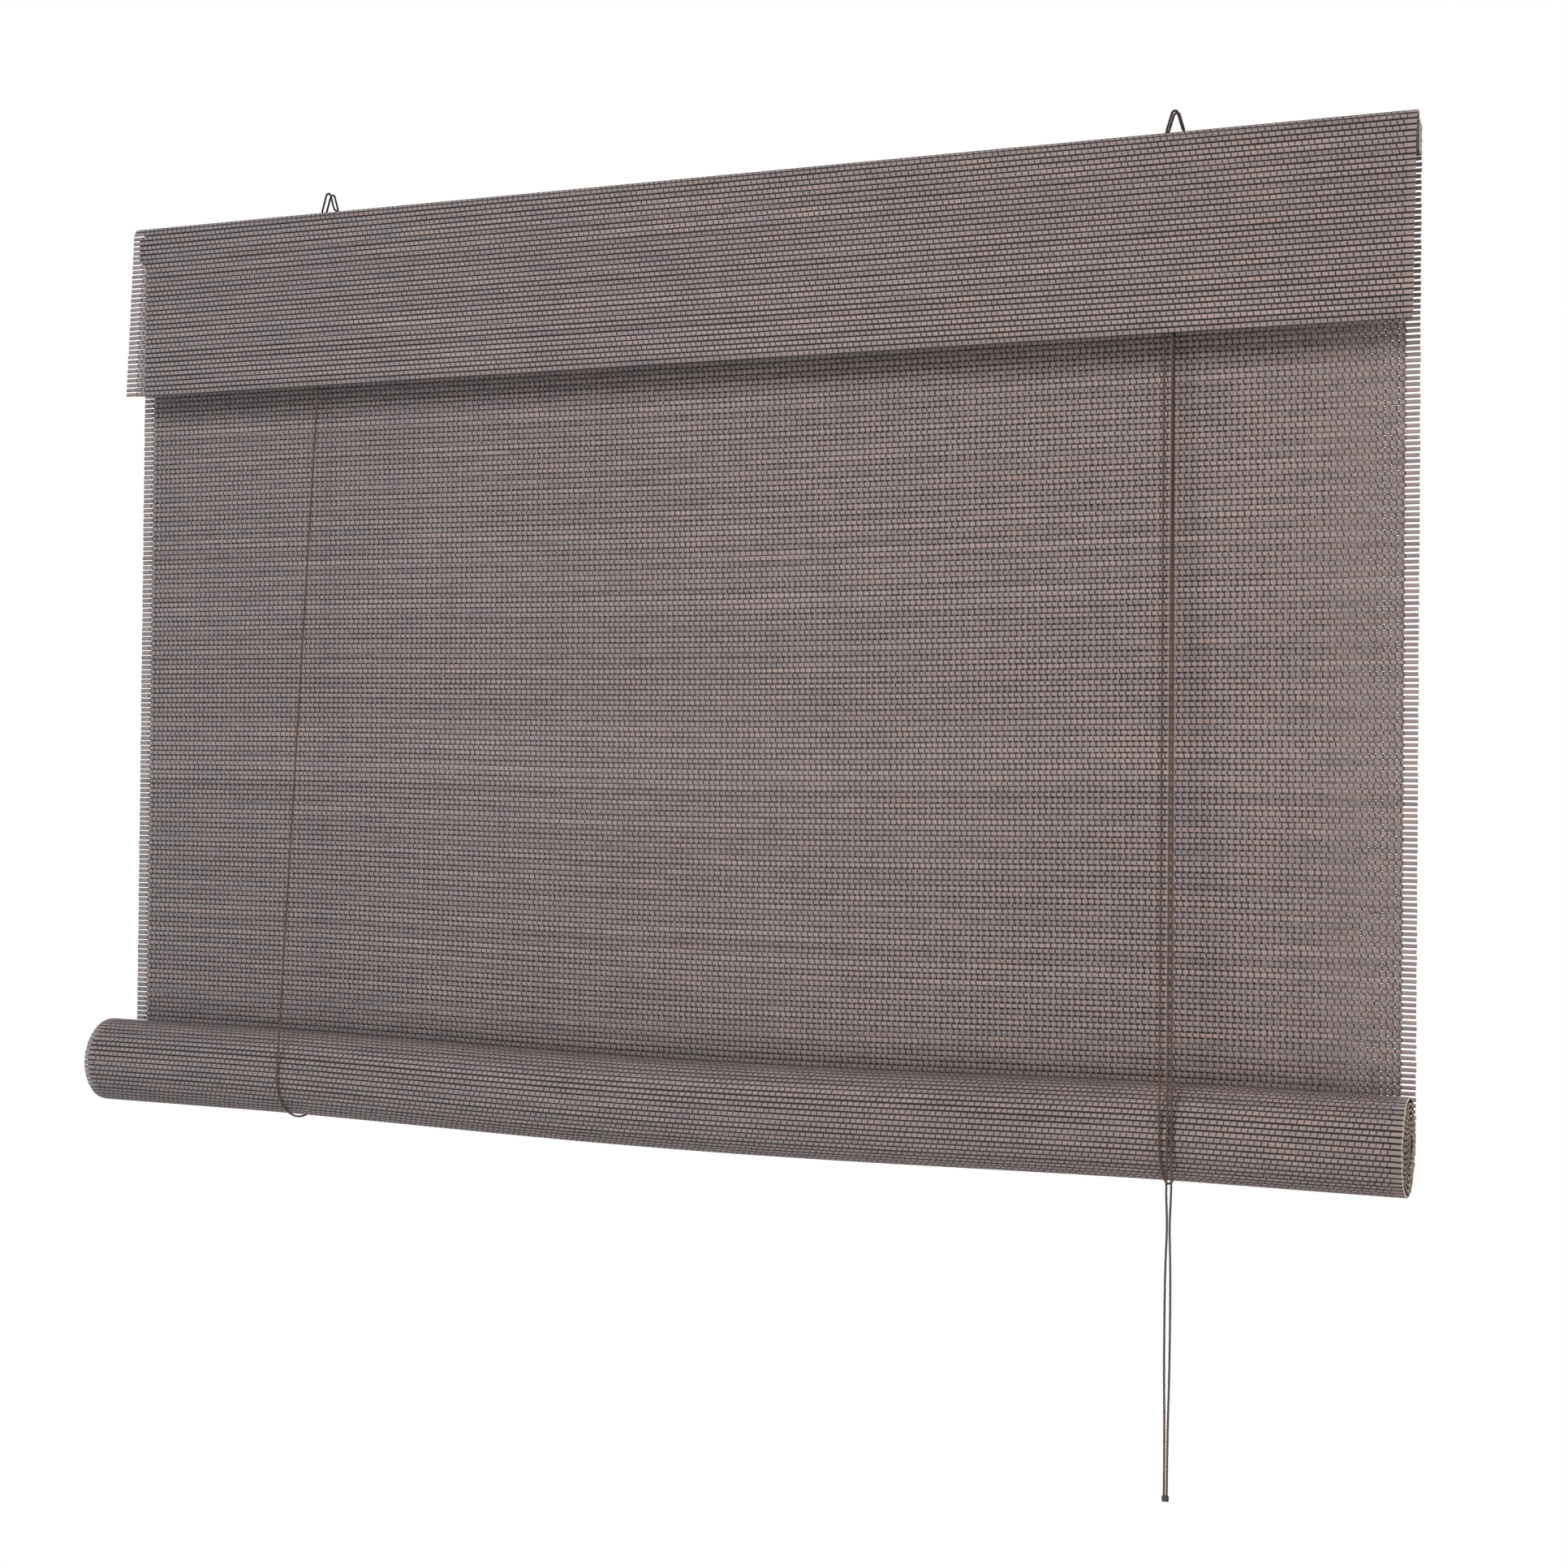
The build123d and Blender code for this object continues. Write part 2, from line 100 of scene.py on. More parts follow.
# Edges of the mats, left and right: how far short the slats are and how far in the weave is loose,
# then how loose it is there and the gaps of the fringe, as shares of the pitch
sheet_edges = ((0.0, 0.020, 0.0, 0.20), (0.0, 0.075, 0.15, 0.36))
valance_edges = ((0.0, 0.026, 0.16, 0.30), (0.0015, 0.014, 0.0, 0.03))
roll_edges = ((0.0, 0.014, 0.0, 0.12), (0.0, 0.014, 0.0, 0.10))

# Cord
cord_diameter = 0.002
cord_clearance = 0.0005
cord_lay = 0.009
cord_step = 0.0015
strand_count = 3
strand_sides = 6
strand_radius = 0.00054
cord_turn = 0.0033
groove_offset = 0.0021
corner_reach = 0.012
sling_corners = 6
route_order, route_resolution = 3, 24
pull_spread, pull_end_spread = 0.0017, 0.0011
pull_open_spread = 0.0022
spread_z, meeting_z, parting_z = -0.850, -0.872, -0.886
open_z, closing_z, closed_z = -0.915, -0.990, -1.040

# Camera, as the photograph was taken
camera_place = (0.8278, -1.8474, -0.5283)
camera_yaw = 22.144
camera_pitch = -0.378
camera_roll = 0.577
camera_lens = 53.462
camera_sensor = 36.0

# Studio
floor_z = -2.1
floor_half = 1.7
floor_clear = 0.7
surround_light, background_level = 0.36, 1.0
key_place, key_target, key_size, key_power = (-0.4, -2.6, 1.5), (0.0, 0.0, -0.40), 1.6, 54
fill_place, fill_target, fill_size, fill_power = (0.1, -2.7, -1.5), (0.1, 0.0, -0.5), 1.6, 25
back_place, back_target, back_size, back_power = (0.6, 2.8, 0.9), (0.0, 0.0, -0.45), 1.6, 58
side_place, side_target, side_size, side_power = (2.8, 0.4, -0.3), (0.6, 0.0, -0.5), 1.2, 20

# Finishes: scales stretch the places that a noise is read at, and spreads are a least and a most
streak_scale, slat_seed_scale = 24.0, 93.0
streak_detail, streak_roughness = 3.0, 0.6
slat_level_spread = (0.84, 1.08)
patch_scale, patch_detail, patch_spread = 0.22, 1.0, (0.8, 1.2)
fibre_scales, fibre_detail, fibre_spread = (40, 2600, 2600), 2.0, (0.84, 1.12)
bamboo_roughness, bamboo_roughness_spread, bamboo_bump = 0.62, (0.52, 0.74), 0.0001
# Painted shade: how soon the slats' bevels turn to the near-black groove colour
painted_shade_fade = 0.2
pore_scales, pore_detail, cut_roughness, cut_bump = (2000, 4200, 4200), 2.0, 0.8, 0.0001
soft_roughness, soft_specular = 0.85, 0.15
twist_scales, twist_detail, twist_spread, thread_bump = (900, 900, 3200), 2.0, (0.7, 1.25), 0.0001
cord_scales, cord_detail, cord_spread, cord_bump = (2500, 2500, 900), 3.0, (0.92, 1.06), 0.00015
grain_scales, grain_detail, grain_roughness = (4, 160, 160), 6.0, 0.6
pore_line_scales, pore_line_detail, pore_line_spread = (40, 2200, 2200), 2.0, (0.8, 1.1)
wood_roughness, wood_roughness_spread, wood_bump = 0.6, (0.5, 0.75), 0.0002
mark_detail, mark_roughness, mark_bump = 4.0, 0.65, 0.00005
gloss_rise, gloss_fall = 0.1, 0.12
speckle_scales, speckle_detail = (60, 60, 60), 3.0
floor_roughness, floor_specular = 0.9, 0.1
dark_stop, light_stop = 0.3, 0.7


# Meshes from arrays


def mesh_piece(name, points, quads, materials, attributes, quad_materials=None):
    """An object of smooth-shaded quads, with one number per point for each attribute."""
    mesh = bpy.data.meshes.new(name)
    mesh.vertices.add(len(points))
    mesh.vertices.foreach_set("co", np.ascontiguousarray(points, np.float32).ravel())
    mesh.loops.add(quads.size)
    mesh.loops.foreach_set("vertex_index", np.ascontiguousarray(quads, np.int32).ravel())
    mesh.polygons.add(len(quads))
    mesh.polygons.foreach_set("loop_start", np.arange(0, quads.size, 4, dtype=np.int32))
    if quad_materials is not None:
        mesh.polygons.foreach_set("material_index", np.ascontiguousarray(quad_materials, np.int32))
    mesh.update(calc_edges=True)
    for key, values in attributes.items():
        layer = mesh.attributes.new(key, "FLOAT", "POINT")
        layer.data.foreach_set("value", np.ascontiguousarray(values, np.float32).ravel())
    for material in materials:
        mesh.materials.append(material)
    piece = bpy.data.objects.new(name, mesh)
    bpy.context.scene.collection.objects.link(piece)
    return piece


def middle(node):
    low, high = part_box(node)
    return (low + high) / 2


# Stations of slats: y, z, and the direction of travel down the mat


def hanging_stations():
    low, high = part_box("hanging_mat")
    count = round((high.z - low.z) / slat_pitch)
    z = np.linspace(high.z, low.z, 2 * count + 1)[1::2]
    still = np.zeros(count)
    return np.stack([still + (low.y + high.y) / 2, z, still, still - 1], axis=1)


def valance_stations():
    """From the tail behind the headrail, over the fold and down the leaning front."""
    low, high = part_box("valance_mat")
    radius = high.y - half_slat
    arch_z = high.z - half_slat - radius
    arch_turn = math.pi - math.radians(valance_lean)
    fall = (arch_z + radius * math.sin(arch_turn) - low.z) / math.cos(math.radians(valance_lean))
    length = valance_tail + arch_turn * radius + fall
    count = round(length / slat_pitch)
    runs = np.linspace(0, length, 2 * count + 1)[1::2] - valance_tail
    turn = np.clip(runs / radius, 0, arch_turn)
    past = runs - turn * radius
    ty, tz = -np.sin(turn), np.cos(turn)
    return np.stack([radius * tz + past * ty, arch_z - radius * ty + past * tz, ty, tz], axis=1)


def roll_turns():
    """The turn angles of all slats on the roll's spiral, from the hanging mat inwards."""
    rod_low, rod_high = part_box("bottom_rod")
    core = (rod_high.z - rod_low.z) / 2 + slat_thickness
    turns = []
    turn = 0.0
    radius = roll_radius - half_slat
    while radius > core:
        turn += slat_pitch / radius / 2
        turns.append(turn)
        turn += slat_pitch / radius / 2
        radius = roll_radius - half_slat - turn_pitch * turn / (2 * math.pi)
    return np.array(turns)


def roll_stations(turns):
    axis = middle("bottom_rod")
    radius = roll_radius - half_slat - turn_pitch * turns / (2 * math.pi)
    ty, tz = -np.sin(turns), -np.cos(turns)
    return np.stack([axis.y - radius * tz, axis.z + radius * ty, ty, tz], axis=1)


def half_pitches(stations):
    """Half the distance between each slat and its neighbours."""
    steps = np.hypot(*np.diff(stations[:, :2], axis=0).T) / 2
    return np.concatenate([steps[:1], (steps[:-1] + steps[1:]) / 2, steps[-1:]])


def placed(stations, along, out):
    """Y and Z at distances along the mat and out of its face from the slats' middles."""
    y, z, ty, tz = [stations[:, axis].reshape((-1,) + (1,) * (along.ndim - 1)) for axis in range(4)]
    return y + along * ty + out * tz, z + along * tz - out * ty


def sag(xs):
    """How far the roll hangs through between the two slings that carry it."""
    return -sag_depth * np.clip(1 - (xs / sag_reach) ** 2, 0, None) ** 2


# Slats


def edge_sections(edge):
    """Distances from an edge of the mat at which the slats' section changes, and its opening there."""
    trim, reach, loose_share, gap_share = edge
    insets = np.array([trim, trim + cut_band, fringe_length, fringe_length + fringe_step, reach])
    return insets, np.array([gap_share, gap_share, gap_share, loose_share, 0])


def slat_sections(left, right, edges):
    start, start_opening = edge_sections(edges[0])
    end, end_opening = edge_sections(edges[1])
    inner = np.linspace(left + start[-1], right - end[-1], slat_runs)[1:-1]
    xs = np.concatenate([left + start, inner, right - end[::-1]])
    return xs, np.concatenate([start_opening, np.zeros(len(inner)), end_opening[::-1]])


def slats(name, stations, halves, edges, creep, dips, bared):
    """Bevelled slats, whose edges meet inside the mat and stand apart at its fringe.

    Slats that are bared show their undyed wood at the end of their back.
    """
    low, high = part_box("hanging_mat")
    xs, opening = slat_sections(low.x, high.x, edges)
    count, runs = len(stations), len(xs)
    half = halves[:, None, None]
    edge = half * (1 - opening[None, :, None])
    uneven = rng.uniform(-row_spread_share, row_spread_share, (count, 1, 4))
    uneven = uneven + rng.uniform(-flat_spread_share, flat_spread_share, (count, runs, 4))
    flats = np.minimum(half * (flat_share + uneven), edge)
    face = np.concatenate([-flats[..., :1], flats[..., 1:2]], axis=2)
    back = np.concatenate([flats[..., 2:3], -flats[..., 3:]], axis=2)
    along = np.concatenate([face, edge, edge, back, -edge, -edge], axis=2)
    heights = np.array([half_slat, half_slat, slat_edge_half, -slat_edge_half])
    out = np.concatenate([heights, -heights]) + rng.normal(0, face_wobble, (count, runs, 1))
    points = np.empty((count, runs, slat_corners, 3))
    spread = 1 + lower_spread_share * dips[:, None, None]
    points[..., 0] = xs[None, :, None] * spread + creep[:, None, None]
    points[:, :2, :, 0] += rng.uniform(0, end_jitter, (count, 1, 1))
    points[:, -2:, :, 0] -= rng.uniform(0, end_jitter, (count, 1, 1))
    points[..., 1], points[..., 2] = placed(stations, along, out)
    points[..., 2] += dips[:, None, None] * sag(xs)[None, :, None]
    corner = np.arange(slat_corners)
    following = (corner + 1) % slat_corners
    ring = np.stack([corner, following, following + slat_corners, corner + slat_corners], axis=1)
    sides = (ring[None] + slat_corners * np.arange(runs - 1)[:, None, None]).reshape(-1, 4)
    cap = np.array([(0, 3, 2, 1), (0, 7, 4, 3), (4, 7, 6, 5)])
    caps = np.concatenate([cap, cap[:, ::-1] + slat_corners * (runs - 1)])
    one = np.concatenate([sides, caps])
    quads = (one[None] + slat_corners * runs * np.arange(count)[:, None, None]).reshape(-1, 4)
    finish = np.zeros((count, len(one)), int)
    last_run = len(sides) - slat_corners
    finish[bared, last_run + slat_back_start:last_run + slat_back_end] = 1
    finish[:, len(sides):] = 1
    # Painted shade: the corners in the grooves are marked for the near-black colour that stands in for
    # the shade between slats
    shade = np.tile(shaded_groove_corners, (count, runs, 1))
    tint = np.broadcast_to(rng.uniform(0, 1, (count, 1, 1)), (count, runs, slat_corners))
    attributes = {"shade": shade, "tint": tint}
    return mesh_piece(name, points.reshape(-1, 3), quads, slat_materials, attributes, finish.ravel())


# Warp threads


def thread_columns():
    low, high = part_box("hanging_mat")
    reach = high.x - low.x - 2 * fringe_length
    count = round(reach / thread_pitch)
    places = low.x + fringe_length + np.arange(count + 1) * reach / count
    return places + rng.normal(0, thread_jitter, count + 1)


def thread_strips(name, stations, xs, along, height, half_width, slant, dips, material):
    """One flat strip for each slat and column, between two distances along the mat."""
    xs = xs + rng.normal(0, thread_jitter, xs.shape)
    ends = np.array([-1, -1, 1, 1])
    sides = np.array([-1, 1, 1, -1])
    points = np.empty(xs.shape + (4, 3))
    spread = 1 + lower_spread_share * dips[:, None, None]
    uneven = rng.uniform(1 - thread_spread_share, 1 + thread_spread_share, xs.shape)
    points[..., 0] = xs[..., None] * spread + ends * slant + sides * (half_width * uneven)[..., None]
    runs = np.stack([along[0], along[0], along[1], along[1]], axis=1)[:, None, :]
    points[..., 1], points[..., 2] = placed(stations, runs, np.full(4, height))
    points[..., 2] += dips[:, None, None] * sag(points[..., 0])
    quads = np.arange(points.size // 3).reshape(-1, 4)
    tint = np.broadcast_to(rng.uniform(0, 1, xs.shape)[..., None], xs.shape + (4,))
    return mesh_piece(name, points.reshape(-1, 3), quads, [material], {"tint": tint})


def face_threads(name, stations, halves, columns, side, shift_share, dips):
    """The dark threads over one face of a mat, set over in every other row; their darkness is partly
    their own colour and partly painted shade along their sides.
    """
    shifts = np.where(np.arange(len(stations)) % 2, shift_share * thread_pitch, 0)
    xs = columns[None, :] + shifts[:, None]
    along = (-flat_share * halves, flat_share * halves)
    height = side * (half_slat + thread_rise)
    return thread_strips(name, stations, xs, along, height, thread_half, thread_slant, dips, painted_shade_thread)


def thread_bars(name, stations, halves, columns, dips):
    """The paler crossings of the threads in the gaps of the front face, wider towards the right edge."""
    places = columns[:-1] + bar_shift_share * thread_pitch
    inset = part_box("hanging_mat")[1].x - places
    half_widths = np.interp(
        inset, [edge_bars_full, edge_bars_start], [edge_bar_half_width, bar_half_width]
    )
    xs = np.broadcast_to(places, (len(stations) - 1, len(places)))
    along = (flat_share * halves[:-1], (2 - flat_share) * halves[:-1])
    height = half_slat - bar_sink
    return thread_strips(name, stations[:-1], xs, along, height, half_widths, 0, dips[:-1], pale_thread)


# Cords


def centreline(points):
    """Points along a smooth spline whose control points are the route's points."""
    curve = bpy.data.curves.new("route", "CURVE")
    curve.dimensions = "3D"
    spline = curve.splines.new("NURBS")
    spline.points.add(len(points) - 1)
    for control, place in zip(spline.points, points):
        control.co = (*place, 1.0)
    spline.order_u = route_order
    spline.use_endpoint_u = True
    spline.resolution_u = route_resolution
    holder = bpy.data.objects.new("route", curve)
    bpy.context.scene.collection.objects.link(holder)
    bpy.context.view_layer.update()
    mesh = bpy.data.meshes.new_from_object(holder)
    line = np.array([vertex.co for vertex in mesh.vertices])
    bpy.data.objects.remove(holder)
    bpy.data.curves.remove(curve)
    bpy.data.meshes.remove(mesh)
    return line


def evenly(line, step):
    """Points at equal steps along a line, with both of its ends."""
    runs = np.concatenate([[0], np.cumsum(np.linalg.norm(np.diff(line, axis=0), axis=1))])
    count = max(2, round(runs[-1] / step))
    places = np.linspace(0, runs[-1], count + 1)
    return np.stack([np.interp(places, runs, line[:, axis]) for axis in (0, 1, 2)], axis=1)


def line_frames(line):
    """Two directions across a line at each of its points, that turn as little as they can."""
    ahead = np.gradient(line, axis=0)
    ahead /= np.linalg.norm(ahead, axis=1, keepdims=True)
    first = np.cross(ahead[0], np.eye(3)[np.argmin(np.abs(ahead[0]))])
    across = [first / np.linalg.norm(first)]
    for direction in ahead[1:]:
        side = across[-1] - direction * np.dot(across[-1], direction)
        across.append(side / np.linalg.norm(side))
    across = np.array(across)
    return across, np.cross(ahead, across)


def tube_points(line, radius, sides):
    across, up = line_frames(line)
    turn = np.arange(sides) * 2 * math.pi / sides
    ring = np.cos(turn)[None, :, None] * across[:, None] + np.sin(turn)[None, :, None] * up[:, None]
    return line[:, None] + radius * ring


def tube_quads(count, sides):
    """Sides of a tube, and its two ends as fans of quads."""
    corner = np.arange(sides)
    ring = np.stack([corner, (corner + 1) % sides, (corner + 1) % sides + sides, corner + sides], axis=1)
    walls = (ring[None] + sides * np.arange(count - 1)[:, None, None]).reshape(-1, 4)
    cap = np.array([(0, k + 2, k + 1, k) for k in range(1, sides - 2, 2)])
    return np.concatenate([walls, cap, cap[:, ::-1] + sides * (count - 1)])


def twisted_cord(name, points):
    """Strands laid round each other along a route; also gives the line that they follow."""
    line = evenly(centreline(points), cord_step)
    across, up = line_frames(line)
    runs = np.arange(len(line)) * cord_step
    verts, quads = [], []
    for strand in range(strand_count):
        turn = 2 * math.pi * (runs / cord_lay + strand / strand_count)
        offset = cord_diameter / 2 - strand_radius
        strand_line = line + offset * (np.cos(turn)[:, None] * across + np.sin(turn)[:, None] * up)
        verts.append(tube_points(strand_line, strand_radius, strand_sides).reshape(-1, 3))
        quads.append(tube_quads(len(line), strand_sides) + strand * len(line) * strand_sides)
    attributes = {"tint": np.repeat(np.arange(strand_count) / strand_count, len(line) * strand_sides)}
    piece = mesh_piece(name, np.concatenate(verts), np.concatenate(quads), [cord_finish], attributes)
    return piece, line


# Materials


def linear(red, green, blue):
    """A colour given as 0 to 255, as a shader takes it."""
    def channel(value):
        share = value / 255
        return share / 12.92 if share <= 0.04045 else ((share + 0.055) / 1.055) ** 2.4
    return (channel(red), channel(green), channel(blue), 1.0)


# The colour sockets of a mix node
colour_mix_inputs, colour_mix_output = (0, 6, 7), 2


class Shader:
    """A material's node tree, built node by node."""

    def __init__(self, name, roughness, metallic=0.0, specular=0.3):
        self.material = bpy.data.materials.new(name)
        self.material.use_nodes = True
        self.tree = self.material.node_tree
        self.surface = self.tree.nodes["Principled BSDF"]
        self.surface.inputs["Metallic"].default_value = metallic
        self.surface.inputs["Roughness"].default_value = roughness
        self.surface.inputs["Specular IOR Level"].default_value = specular

    def node(self, kind, settings=None, values=None):
        made = self.tree.nodes.new(kind)
        for key, value in (settings or {}).items():
            setattr(made, key, value)
        for socket, value in (values or {}).items():
            if isinstance(value, bpy.types.NodeSocket):
                self.tree.links.new(value, made.inputs[socket])
            else:
                made.inputs[socket].default_value = value
        return made

    def attribute(self, name):
        return self.node("ShaderNodeAttribute", {"attribute_name": name}).outputs["Fac"]

    def places(self, scale):
        """Object coordinates, stretched."""
        object_places = self.node("ShaderNodeTexCoord").outputs["Object"]
        stretched = self.node("ShaderNodeMapping", None, {"Vector": object_places, "Scale": scale})
        return stretched.outputs["Vector"]

    def along(self):
        """The place along the mat."""
        return self.node("ShaderNodeSeparateXYZ", None, {0: self.places((1, 1, 1))}).outputs["X"]

    def noise(self, vector, scale, detail, roughness=0.5):
        values = {"Vector": vector, "Scale": scale, "Detail": detail, "Roughness": roughness}
        return self.node("ShaderNodeTexNoise", None, values).outputs["Fac"]

    def scatter(self, value):
        """A number from 0 to 1 that jumps with its input."""
        return self.node("ShaderNodeTexWhiteNoise", {"noise_dimensions": "1D"}, {"W": value}).outputs[0]

    def math(self, operation, first, second):
        return self.node("ShaderNodeMath", {"operation": operation}, {0: first, 1: second}).outputs[0]

    def ramp(self, value, stops):
        made = self.node("ShaderNodeValToRGB", None, {"Fac": value})
        elements = made.color_ramp.elements
        for _ in range(len(stops) - 2):
            elements.new(0.5)
        for element, (place, colour) in zip(elements, stops):
            element.position = place
            element.color = colour
        return made.outputs["Color"]

    def mix(self, share, first, second, blend="MIX"):
        made = self.node("ShaderNodeMix", {"data_type": "RGBA", "blend_type": blend})
        for index, value in zip(colour_mix_inputs, (share, first, second)):
            if isinstance(value, bpy.types.NodeSocket):
                self.tree.links.new(value, made.inputs[index])
            else:
                made.inputs[index].default_value = value
        return made.outputs[colour_mix_output]

    def scaled(self, colour, level):
        """A colour times a grey level."""
        grey = self.node("ShaderNodeCombineColor", None, {0: level, 1: level, 2: level}).outputs["Color"]
        return self.mix(1.0, colour, grey, "MULTIPLY")

    def span(self, value, low, high, start=0.0, end=1.0):
        """A value carried over from one range to another."""
        values = {"Value": value, "From Min": start, "From Max": end, "To Min": low, "To Max": high}
        return self.node("ShaderNodeMapRange", None, values).outputs["Result"]

    def bump(self, height, distance):
        values = {"Height": height, "Distance": distance, "Strength": 1.0}
        made = self.node("ShaderNodeBump", None, values)
        self.tree.links.new(made.outputs["Normal"], self.surface.inputs["Normal"])

    def set(self, socket, value):
        self.tree.links.new(value, self.surface.inputs[socket])


# Painted shade: the near-black colour on the slats' bevels, in place of the shade deep in the gaps
# between slats
groove_painted_shade = linear(30, 24, 23)
slat_tones = [
    (0.25, linear(142, 132, 135)),
    (0.42, linear(154, 143, 144)),
    (0.55, linear(162, 147, 146)),
    (0.66, linear(169, 151, 146)),
    (0.76, linear(174, 149, 143)),
]
cut_tones = [(0.35, linear(172, 150, 122)), (0.6, linear(232, 218, 194))]
cord_tones = [(0.25, linear(60, 47, 41)), (0.5, linear(101, 82, 71)), (0.8, linear(140, 116, 101))]
floor_tones = [(dark_stop, linear(236, 236, 236)), (light_stop, linear(242, 242, 242))]
# Painted light: the tints that darken one end of the mat and lighten the other
shaded_end_tint = (0.83, 0.86, 0.88, 1)
lit_end_tint = (1.0, 0.95, 0.925, 1)


def painted_end_light(shader, colour):
    """Painted light: the colour is made a little warmer and paler towards one end of the mat, as if more
    light falls there, and darker and cooler towards the other.
    """
    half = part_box("hanging_mat")[1].x
    share = shader.span(shader.along(), 0, 1, -half, half)
    return shader.mix(1.0, colour, shader.ramp(share, [(0, shaded_end_tint), (1, lit_end_tint)]), "MULTIPLY")


def bamboo_material():
    shader = Shader("stained_bamboo", bamboo_roughness)
    tint = shader.attribute("tint")
    run = shader.math("MULTIPLY", shader.along(), streak_scale)
    seed = shader.math("MULTIPLY", tint, slat_seed_scale)
    slat_line = shader.node("ShaderNodeCombineXYZ", None, {"X": run, "Y": seed}).outputs["Vector"]
    base = shader.ramp(shader.noise(slat_line, 1.0, streak_detail, streak_roughness), slat_tones)
    base = shader.scaled(base, shader.span(shader.scatter(tint), *slat_level_spread))
    patches = shader.noise(slat_line, patch_scale, patch_detail)
    base = shader.scaled(base, shader.span(patches, *patch_spread))
    fibres = shader.noise(shader.places(fibre_scales), 1.0, fibre_detail)
    base = shader.scaled(base, shader.span(fibres, *fibre_spread))
    # Painted shade: the bevels darken to near black in the grooves between slats
    shade = shader.math("POWER", shader.attribute("shade"), painted_shade_fade)
    shader.set("Base Color", shader.mix(shade, painted_end_light(shader, base), groove_painted_shade))
    shader.set("Roughness", shader.span(fibres, *bamboo_roughness_spread))
    shader.bump(fibres, bamboo_bump)
    return shader.material


def cut_bamboo_material():
    """The undyed inside of the slats, where they are cut off."""
    shader = Shader("cut_bamboo", cut_roughness)
    pores = shader.noise(shader.places(pore_scales), 1.0, pore_detail)
    shader.set("Base Color", shader.ramp(pores, cut_tones))
    shader.bump(pores, cut_bump)
    return shader.material


def thread_material(name, dark, light):
    shader = Shader(name, soft_roughness, specular=soft_specular)
    twist = shader.noise(shader.places(twist_scales), 1.0, twist_detail)
    base = shader.ramp(twist, [(dark_stop, dark), (light_stop, light)])
    base = shader.scaled(base, shader.span(shader.attribute("tint"), *twist_spread))
    shader.set("Base Color", painted_end_light(shader, base))
    shader.bump(twist, thread_bump)
    return shader.material


def cord_material():
    shader = Shader("twisted_cord", soft_roughness, specular=soft_specular)
    fibres = shader.noise(shader.places(cord_scales), 1.0, cord_detail)
    level = shader.span(shader.attribute("tint"), *cord_spread)
    shader.set("Base Color", shader.scaled(shader.ramp(fibres, cord_tones), level))
    shader.bump(fibres, cord_bump)
    return shader.material


def wood_material(name, dark, light):
    shader = Shader(name, wood_roughness)
    grain = shader.noise(shader.places(grain_scales), 1.0, grain_detail, grain_roughness)
    pore_lines = shader.noise(shader.places(pore_line_scales), 1.0, pore_line_detail)
    base = shader.ramp(grain, [(dark_stop, dark), (light_stop, light)])
    shader.set("Base Color", shader.scaled(base, shader.span(pore_lines, *pore_line_spread)))
    shader.set("Roughness", shader.span(pore_lines, *wood_roughness_spread))
    shader.bump(pore_lines, wood_bump)
    return shader.material


def coated_metal(name, dark, light, metallic, roughness, grain, specular=0.5):
    """Metal or plastic, with small marks in its colour and gloss."""
    shader = Shader(name, roughness, metallic, specular)
    marks = shader.noise(shader.places((grain, grain, grain)), 1.0, mark_detail, mark_roughness)
    shader.set("Base Color", shader.ramp(marks, [(dark_stop, dark), (light_stop, light)]))
    shader.set("Roughness", shader.span(marks, roughness - gloss_rise, roughness + gloss_fall))
    shader.bump(marks, mark_bump)
    return shader.material


slat_materials = [bamboo_material(), cut_bamboo_material()]
# Partly painted shade: the warp threads are much darker than their own taupe, standing in for the thin
# shade along their sides
painted_shade_thread = thread_material("warp_thread", linear(62, 52, 50), linear(90, 77, 74))
pale_thread = thread_material("crossed_thread", linear(108, 97, 95), linear(142, 129, 126))
cord_finish = cord_material()


def finish_nodes(finish, *nodes):
    """Gives the solids that show as they are their material."""
    for node in nodes:
        node_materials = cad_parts[node].data.materials
        node_materials.clear()
        node_materials.append(finish)


rail_wood = wood_material("headrail_wood", linear(74, 62, 58), linear(104, 90, 84))
rod_wood = wood_material("rod_wood", linear(150, 124, 92), linear(190, 164, 126))
zinc = coated_metal(
    "zinc_steel", linear(150, 152, 156), linear(190, 191, 192),
    metallic=1.0, roughness=0.35, grain=900,
)
wire = coated_metal(
    "hanger_wire", linear(46, 39, 37), linear(70, 61, 57),
    metallic=0.0, roughness=0.6, grain=1400, specular=0.1,
)
enamel = coated_metal(
    "brown_enamel", linear(78, 70, 66), linear(92, 84, 80),
    metallic=0.0, roughness=0.4, grain=700,
)
plastic = coated_metal(
    "pulley_plastic", linear(196, 192, 184), linear(212, 208, 200),
    metallic=0.0, roughness=0.45, grain=500,
)
brass = coated_metal(
    "cam_brass", linear(168, 134, 78), linear(206, 172, 108),
    metallic=1.0, roughness=0.38, grain=900,
)
crimp = coated_metal(
    "crimped_sleeve", linear(30, 27, 27), linear(58, 52, 50),
    metallic=0.3, roughness=0.5, grain=1600,
)
finish_nodes(rail_wood, "headrail_batten")
finish_nodes(rod_wood, "bottom_rod")
finish_nodes(zinc, "mat_staples", "bracket_screws", "anchor_screws")
finish_nodes(zinc, "left_pulley_axle", "lock_pulley_axle", "lock_cam_pin", "lock_anvil_pin")
finish_nodes(wire, "left_hanger", "right_hanger")
finish_nodes(enamel, "left_pulley_bracket", "lock_bracket")
finish_nodes(plastic, "left_pulley", "lock_pulley")
finish_nodes(brass, "lock_cam", "lock_anvil")
finish_nodes(crimp, "pull_cord_end")


# Mats

